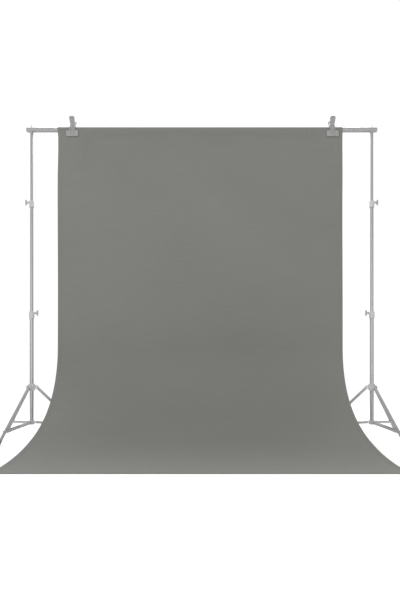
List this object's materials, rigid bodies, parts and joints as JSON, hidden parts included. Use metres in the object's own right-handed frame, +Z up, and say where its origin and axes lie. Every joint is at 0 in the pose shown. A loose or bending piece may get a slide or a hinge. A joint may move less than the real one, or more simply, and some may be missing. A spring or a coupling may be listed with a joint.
{
  "type": "background support system",
  "caption": "Two folding tripod light stands carry a round crossbar on their studs; a grey cloth backdrop hangs from the bar, held by spring clamps, and sweeps onto the floor.",
  "frame": {"origin": "on the floor, at the middle of the object's footprint", "axes": "+X along the crossbar, -Y towards the front of the cloth, +Z up"},
  "size_m": [2.4106, 1.0613, 1.826],
  "materials": {
    "tube": "satin grey lacquered aluminium tube",
    "collar": "fine-grained grey moulded plastic",
    "knob": "grey moulded plastic",
    "steel": "plain turned and pressed steel",
    "brace": "grey lacquered pressed strip",
    "foot": "soft grey rubber",
    "cloth": "matt grey woven cloth with a fine slub",
    "clamp": "pale grey moulded plastic"
  },
  "bodies": {
    "root": {"left_lower_tube": "tube", "left_lower_lock": "collar", "left_hub": "collar", "right_lower_tube": "tube", "right_lower_lock": "collar", "right_hub": "collar", "hub_rivets": "steel", "backdrop_floor_end": "cloth"},
    "crossbar": {"left_top_tube": "tube", "left_stud": "steel", "crossbar_section_1": "tube", "crossbar_section_2": "tube", "crossbar_section_3": "tube", "bar_end_plugs": "collar", "backdrop": "cloth", "left_clamp_front_jaw": "clamp", "right_clamp_front_jaw": "clamp", "clamp_pins": "steel", "clamp_springs": "steel"},
    "left_mid": {"left_mid_tube": "tube", "left_upper_lock": "collar"},
    "right_mid": {"right_mid_tube": "tube", "right_upper_lock": "collar"},
    "right_top": {"right_top_tube": "tube", "right_stud": "steel"},
    "left_clamp_rear": {"left_clamp_rear_jaw": "clamp"},
    "left_collar": {"left_leg_collar": "collar", "left_collar_rivets": "steel"},
    "left_inner_leg_body": {"left_inner_leg": "tube", "left_inner_foot": "foot", "left_inner_leg_pin": "steel"},
    "left_inner_brace_body": {"left_inner_brace": "brace"},
    "left_back_leg_body": {"left_back_leg": "tube", "left_back_foot": "foot", "left_back_leg_pin": "steel"},
    "left_back_brace_body": {"left_back_brace": "brace"},
    "left_front_leg_body": {"left_front_leg": "tube", "left_front_foot": "foot", "left_front_leg_pin": "steel"},
    "left_front_brace_body": {"left_front_brace": "brace"},
    "left_lower_knob_body": {"left_lower_knob": "knob"},
    "left_upper_knob_body": {"left_upper_knob": "knob"},
    "right_clamp_rear": {"right_clamp_rear_jaw": "clamp"},
    "right_collar": {"right_leg_collar": "collar", "right_collar_rivets": "steel"},
    "right_inner_leg_body": {"right_inner_leg": "tube", "right_inner_foot": "foot", "right_inner_leg_pin": "steel"},
    "right_inner_brace_body": {"right_inner_brace": "brace"},
    "right_back_leg_body": {"right_back_leg": "tube", "right_back_foot": "foot", "right_back_leg_pin": "steel"},
    "right_back_brace_body": {"right_back_brace": "brace"},
    "right_front_leg_body": {"right_front_leg": "tube", "right_front_foot": "foot", "right_front_leg_pin": "steel"},
    "right_front_brace_body": {"right_front_brace": "brace"},
    "right_lower_knob_body": {"right_lower_knob": "knob"},
    "right_upper_knob_body": {"right_upper_knob": "knob"}
  },
  "joints": [
    {"name": "left_mid_slide", "type": "slide", "parent": "root", "child": "left_mid", "axis": [0, 0, 1], "range_m": [-0.57, 0], "deforming": ["backdrop"]},
    {"name": "right_mid_slide", "type": "slide", "parent": "root", "child": "right_mid", "axis": [0, 0, 1], "range_m": [-0.57, 0]},
    {"name": "left_top_slide", "type": "slide", "parent": "left_mid", "child": "crossbar", "axis": [0, 0, 1], "range_m": [-0.375, 0.19], "deforming": ["backdrop"]},
    {"name": "right_top_slide", "type": "slide", "parent": "right_mid", "child": "right_top", "axis": [0, 0, 1], "range_m": [-0.375, 0.19]},
    {"name": "left_collar_slide", "type": "slide", "parent": "root", "child": "left_collar", "axis": [0, 0, 1], "range_m": [0, 0.32687]},
    {"name": "left_inner_leg_hinge", "type": "hinge", "parent": "left_collar", "child": "left_inner_leg_body", "pos_m": [-0.94885, 0.33128, 0.286], "axis": [0.309, -0.9511, 0], "range_deg": [-44.62, 0.5]},
    {"name": "left_inner_brace_hinge", "type": "hinge", "parent": "root", "child": "left_inner_brace_body", "pos_m": [-0.95598, 0.32897, 0.084], "axis": [0.309, -0.9511, 0], "range_deg": [-0.5, 93.31]},
    {"name": "left_back_leg_hinge", "type": "hinge", "parent": "left_collar", "child": "left_back_leg_body", "pos_m": [-0.99544, 0.34119, 0.286], "axis": [0.6691, 0.7431, 0], "range_deg": [-44.62, 0.5]},
    {"name": "left_back_brace_hinge", "type": "hinge", "parent": "root", "child": "left_back_brace_body", "pos_m": [-0.98986, 0.33617, 0.084], "axis": [0.6691, 0.7431, 0], "range_deg": [-0.5, 93.31]},
    {"name": "left_front_leg_hinge", "type": "hinge", "parent": "left_collar", "child": "left_front_leg_body", "pos_m": [-0.98072, 0.29589, 0.286], "axis": [-0.9781, 0.2079, 0], "range_deg": [-44.62, 0.5]},
    {"name": "left_front_brace_hinge", "type": "hinge", "parent": "root", "child": "left_front_brace_body", "pos_m": [-0.97916, 0.30322, 0.084], "axis": [-0.9781, 0.2079, 0], "range_deg": [-0.5, 93.31]},
    {"name": "right_collar_slide", "type": "slide", "parent": "root", "child": "right_collar", "axis": [0, 0, 1], "range_m": [0, 0.32687]},
    {"name": "right_inner_leg_hinge", "type": "hinge", "parent": "right_collar", "child": "right_inner_leg_body", "pos_m": [0.94885, 0.33128, 0.286], "axis": [0.309, 0.9511, 0], "range_deg": [-44.62, 0.5]},
    {"name": "right_inner_brace_hinge", "type": "hinge", "parent": "root", "child": "right_inner_brace_body", "pos_m": [0.95598, 0.32897, 0.084], "axis": [0.309, 0.9511, 0], "range_deg": [-0.5, 93.31]},
    {"name": "right_back_leg_hinge", "type": "hinge", "parent": "right_collar", "child": "right_back_leg_body", "pos_m": [0.99544, 0.34119, 0.286], "axis": [0.6691, -0.7431, 0], "range_deg": [-44.62, 0.5]},
    {"name": "right_back_brace_hinge", "type": "hinge", "parent": "root", "child": "right_back_brace_body", "pos_m": [0.98986, 0.33617, 0.084], "axis": [0.6691, -0.7431, 0], "range_deg": [-0.5, 93.31]},
    {"name": "right_front_leg_hinge", "type": "hinge", "parent": "right_collar", "child": "right_front_leg_body", "pos_m": [0.98072, 0.29589, 0.286], "axis": [-0.9781, -0.2079, 0], "range_deg": [-44.62, 0.5]},
    {"name": "right_front_brace_hinge", "type": "hinge", "parent": "root", "child": "right_front_brace_body", "pos_m": [0.97916, 0.30322, 0.084], "axis": [-0.9781, -0.2079, 0], "range_deg": [-0.5, 93.31]},
    {"name": "left_lower_knob_turn", "type": "hinge", "parent": "root", "child": "left_lower_knob_body", "pos_m": [-0.975, 0.32278, 0.711], "axis": [1, 0, 0], "continuous": true},
    {"name": "left_upper_knob_turn", "type": "hinge", "parent": "left_mid", "child": "left_upper_knob_body", "pos_m": [-0.975, 0.32278, 1.344], "axis": [-1, 0, 0], "continuous": true},
    {"name": "right_lower_knob_turn", "type": "hinge", "parent": "root", "child": "right_lower_knob_body", "pos_m": [0.975, 0.32278, 0.711], "axis": [-1, 0, 0], "continuous": true},
    {"name": "right_upper_knob_turn", "type": "hinge", "parent": "right_mid", "child": "right_upper_knob_body", "pos_m": [0.975, 0.32278, 1.344], "axis": [1, 0, 0], "continuous": true},
    {"name": "left_clamp_open", "type": "hinge", "parent": "crossbar", "child": "left_clamp_rear", "pos_m": [-0.738, 0.32278, 1.784], "axis": [1, 0, 0], "range_deg": [0, 35], "stiffness_Nm_per_rad": 0.6, "springref_deg": -17.19},
    {"name": "right_clamp_open", "type": "hinge", "parent": "crossbar", "child": "right_clamp_rear", "pos_m": [0.745, 0.32278, 1.784], "axis": [1, 0, 0], "range_deg": [0, 35], "stiffness_Nm_per_rad": 0.6, "springref_deg": -17.19}
  ],
  "couplings": [
    {"joint": "right_mid_slide", "follows": "left_mid_slide", "ratio": 1},
    {"joint": "right_top_slide", "follows": "left_top_slide", "ratio": 1},
    {"joint": "left_inner_leg_hinge", "follows": "left_collar_slide", "rad_per_m": -2.356},
    {"joint": "left_inner_brace_hinge", "follows": "left_collar_slide", "rad_per_m": 4.9557},
    {"joint": "left_back_leg_hinge", "follows": "left_collar_slide", "rad_per_m": -2.356},
    {"joint": "left_back_brace_hinge", "follows": "left_collar_slide", "rad_per_m": 4.9557},
    {"joint": "left_front_leg_hinge", "follows": "left_collar_slide", "rad_per_m": -2.356},
    {"joint": "left_front_brace_hinge", "follows": "left_collar_slide", "rad_per_m": 4.9557},
    {"joint": "right_inner_leg_hinge", "follows": "right_collar_slide", "rad_per_m": -2.356},
    {"joint": "right_inner_brace_hinge", "follows": "right_collar_slide", "rad_per_m": 4.9557},
    {"joint": "right_back_leg_hinge", "follows": "right_collar_slide", "rad_per_m": -2.356},
    {"joint": "right_back_brace_hinge", "follows": "right_collar_slide", "rad_per_m": 4.9557},
    {"joint": "right_front_leg_hinge", "follows": "right_collar_slide", "rad_per_m": -2.356},
    {"joint": "right_front_brace_hinge", "follows": "right_collar_slide", "rad_per_m": 4.9557}
  ]
}
